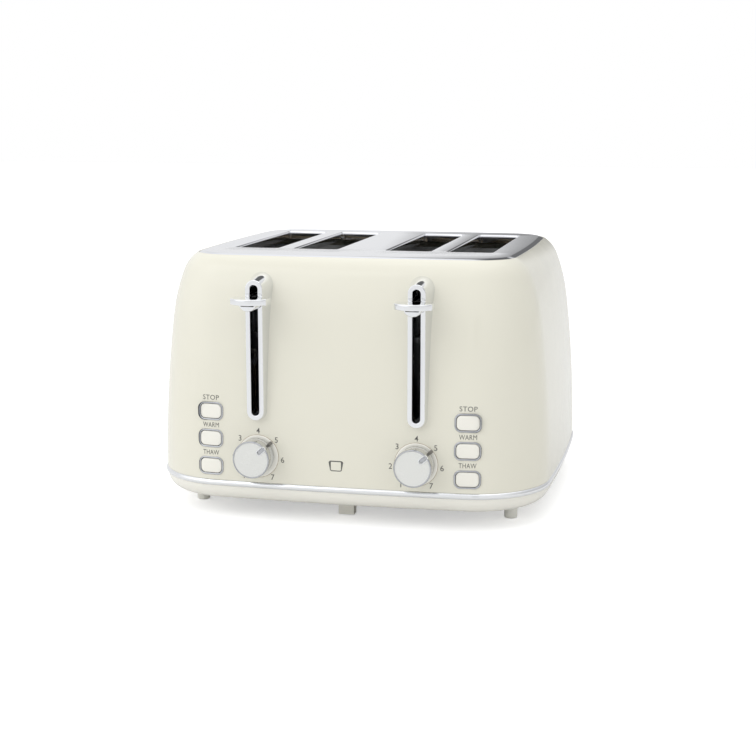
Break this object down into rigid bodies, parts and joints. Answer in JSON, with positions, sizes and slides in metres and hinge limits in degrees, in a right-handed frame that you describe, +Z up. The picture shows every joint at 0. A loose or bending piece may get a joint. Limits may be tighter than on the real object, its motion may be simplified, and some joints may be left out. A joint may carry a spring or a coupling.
{
  "type": "pop-up toaster",
  "caption": "Wide-body pop-up toaster with long bread slots, two front levers, dials and push buttons, and pull-out crumb trays.",
  "frame": {"origin": "on the worktop, under the middle of the body's plan outline", "axes": "+Z up, -Y towards the user at the levers and dials, +X to the right-hand end seen from there"},
  "size_m": [0.31, 0.315, 0.1992],
  "materials": {
    "cream_enamel": "gloss baked enamel on pressed steel",
    "cream_plastic": "moulded cream plastic, satin gloss",
    "bright_chrome": "bright chrome plating",
    "polished_steel": "mirror-polished stainless steel",
    "knob_plastic": "light grey-cream moulded plastic",
    "black_rubber": "matt moulded rubber",
    "zinc_steel": "zinc-coated pressed steel",
    "drawn_steel": "bright drawn steel",
    "spring_steel": "oiled spring wire",
    "magnet_core": "varnished winding on a laminated core",
    "board_laminate": "green coated laminate",
    "black_plastic": "black moulded plastic",
    "lead_jacket": "heat-resisting flexible jacket",
    "mica": "pressed mica sheet",
    "resistance_ribbon": "oxidised resistance ribbon"
  },
  "bodies": {
    "housing": {"base_moulding": "cream_plastic", "base_screws": "zinc_steel", "board_posts": "black_plastic", "body_shell": "cream_enamel", "button_rings": "bright_chrome", "chassis_front_plate": "zinc_steel", "chassis_rear_plate": "zinc_steel", "control_board_left": "board_laminate", "control_board_right": "board_laminate", "cord_gland": "black_rubber", "dial_plinth_left": "cream_plastic", "dial_plinth_right": "cream_plastic", "electromagnet_left": "magnet_core", "electromagnet_right": "magnet_core", "guide_rods": "drawn_steel", "heat_shields": "zinc_steel", "heating_ribbons": "resistance_ribbon", "lever_bezel_left": "bright_chrome", "lever_bezel_right": "bright_chrome", "mains_lead": "lead_jacket", "mica_cards": "mica", "pot_housing_left": "black_plastic", "pot_housing_right": "black_plastic", "return_spring_left": "spring_steel", "return_spring_right": "spring_steel", "rubber_feet": "black_rubber", "tact_switches": "black_plastic", "terminal_block": "black_plastic", "top_plate": "polished_steel", "trim_ring": "bright_chrome"},
    "carriage_left": {"carriage_left": "zinc_steel", "lever_handle_left": "bright_chrome", "keeper_left": "zinc_steel", "lifter_inner_left": "zinc_steel", "lifter_outer_left": "zinc_steel"},
    "guards_inner_left": {"guards_inner_left": "drawn_steel"},
    "guards_outer_left": {"guards_outer_left": "drawn_steel"},
    "dial_left": {"knob_left": "knob_plastic", "knob_ring_left": "bright_chrome", "pot_shaft_left": "drawn_steel"},
    "button_stop_left": {"button_stop_left": "cream_plastic"},
    "button_warm_left": {"button_warm_left": "cream_plastic"},
    "button_thaw_left": {"button_thaw_left": "cream_plastic"},
    "crumb_tray_left": {"crumb_tray_left": "zinc_steel", "tray_handle_left": "cream_plastic"},
    "carriage_right": {"carriage_right": "zinc_steel", "lever_handle_right": "bright_chrome", "keeper_right": "zinc_steel", "lifter_inner_right": "zinc_steel", "lifter_outer_right": "zinc_steel"},
    "guards_inner_right": {"guards_inner_right": "drawn_steel"},
    "guards_outer_right": {"guards_outer_right": "drawn_steel"},
    "dial_right": {"knob_right": "knob_plastic", "knob_ring_right": "bright_chrome", "pot_shaft_right": "drawn_steel"},
    "button_stop_right": {"button_stop_right": "cream_plastic"},
    "button_warm_right": {"button_warm_right": "cream_plastic"},
    "button_thaw_right": {"button_thaw_right": "cream_plastic"},
    "crumb_tray_right": {"crumb_tray_right": "zinc_steel", "tray_handle_right": "cream_plastic"}
  },
  "joints": [
    {"name": "carriage_left_slide", "type": "slide", "parent": "housing", "child": "carriage_left", "axis": [0, 0, -1], "range_m": [0, 0.075], "stiffness_N_per_m": 40, "springref_m": -0.06, "deforming": ["return_spring_left"]},
    {"name": "guards_inner_left_slide", "type": "slide", "parent": "housing", "child": "guards_inner_left", "axis": [-1, 0, 0], "range_m": [0, 0.004]},
    {"name": "guards_outer_left_slide", "type": "slide", "parent": "housing", "child": "guards_outer_left", "axis": [1, 0, 0], "range_m": [0, 0.004]},
    {"name": "dial_left_turn", "type": "hinge", "parent": "housing", "child": "dial_left", "pos_m": [-0.061, -0.15, 0.0512], "axis": [0, 1, 0], "range_deg": [-192, 96]},
    {"name": "button_stop_left_press", "type": "slide", "parent": "housing", "child": "button_stop_left", "axis": [0, 1, 0], "range_m": [0, 0.0015], "stiffness_N_per_m": 900, "springref_m": -0.001},
    {"name": "button_warm_left_press", "type": "slide", "parent": "housing", "child": "button_warm_left", "axis": [0, 1, 0], "range_m": [0, 0.0015], "stiffness_N_per_m": 900, "springref_m": -0.001},
    {"name": "button_thaw_left_press", "type": "slide", "parent": "housing", "child": "button_thaw_left", "axis": [0, 1, 0], "range_m": [0, 0.0015], "stiffness_N_per_m": 900, "springref_m": -0.001},
    {"name": "crumb_tray_left_slide", "type": "slide", "parent": "housing", "child": "crumb_tray_left", "axis": [0, 1, 0], "range_m": [0, 0.2]},
    {"name": "carriage_right_slide", "type": "slide", "parent": "housing", "child": "carriage_right", "axis": [0, 0, -1], "range_m": [0, 0.075], "stiffness_N_per_m": 40, "springref_m": -0.06, "deforming": ["return_spring_right"]},
    {"name": "guards_inner_right_slide", "type": "slide", "parent": "housing", "child": "guards_inner_right", "axis": [1, 0, 0], "range_m": [0, 0.004]},
    {"name": "guards_outer_right_slide", "type": "slide", "parent": "housing", "child": "guards_outer_right", "axis": [-1, 0, 0], "range_m": [0, 0.004]},
    {"name": "dial_right_turn", "type": "hinge", "parent": "housing", "child": "dial_right", "pos_m": [0.061, -0.15, 0.0512], "axis": [0, 1, 0], "range_deg": [-192, 96]},
    {"name": "button_stop_right_press", "type": "slide", "parent": "housing", "child": "button_stop_right", "axis": [0, 1, 0], "range_m": [0, 0.0015], "stiffness_N_per_m": 900, "springref_m": -0.001},
    {"name": "button_warm_right_press", "type": "slide", "parent": "housing", "child": "button_warm_right", "axis": [0, 1, 0], "range_m": [0, 0.0015], "stiffness_N_per_m": 900, "springref_m": -0.001},
    {"name": "button_thaw_right_press", "type": "slide", "parent": "housing", "child": "button_thaw_right", "axis": [0, 1, 0], "range_m": [0, 0.0015], "stiffness_N_per_m": 900, "springref_m": -0.001},
    {"name": "crumb_tray_right_slide", "type": "slide", "parent": "housing", "child": "crumb_tray_right", "axis": [0, 1, 0], "range_m": [0, 0.2]}
  ],
  "couplings": [
    {"joint": "guards_inner_left_slide", "follows": "carriage_left_slide", "ratio": 0.053333},
    {"joint": "guards_outer_left_slide", "follows": "carriage_left_slide", "ratio": 0.053333},
    {"joint": "guards_inner_right_slide", "follows": "carriage_right_slide", "ratio": 0.053333},
    {"joint": "guards_outer_right_slide", "follows": "carriage_right_slide", "ratio": 0.053333}
  ]
}
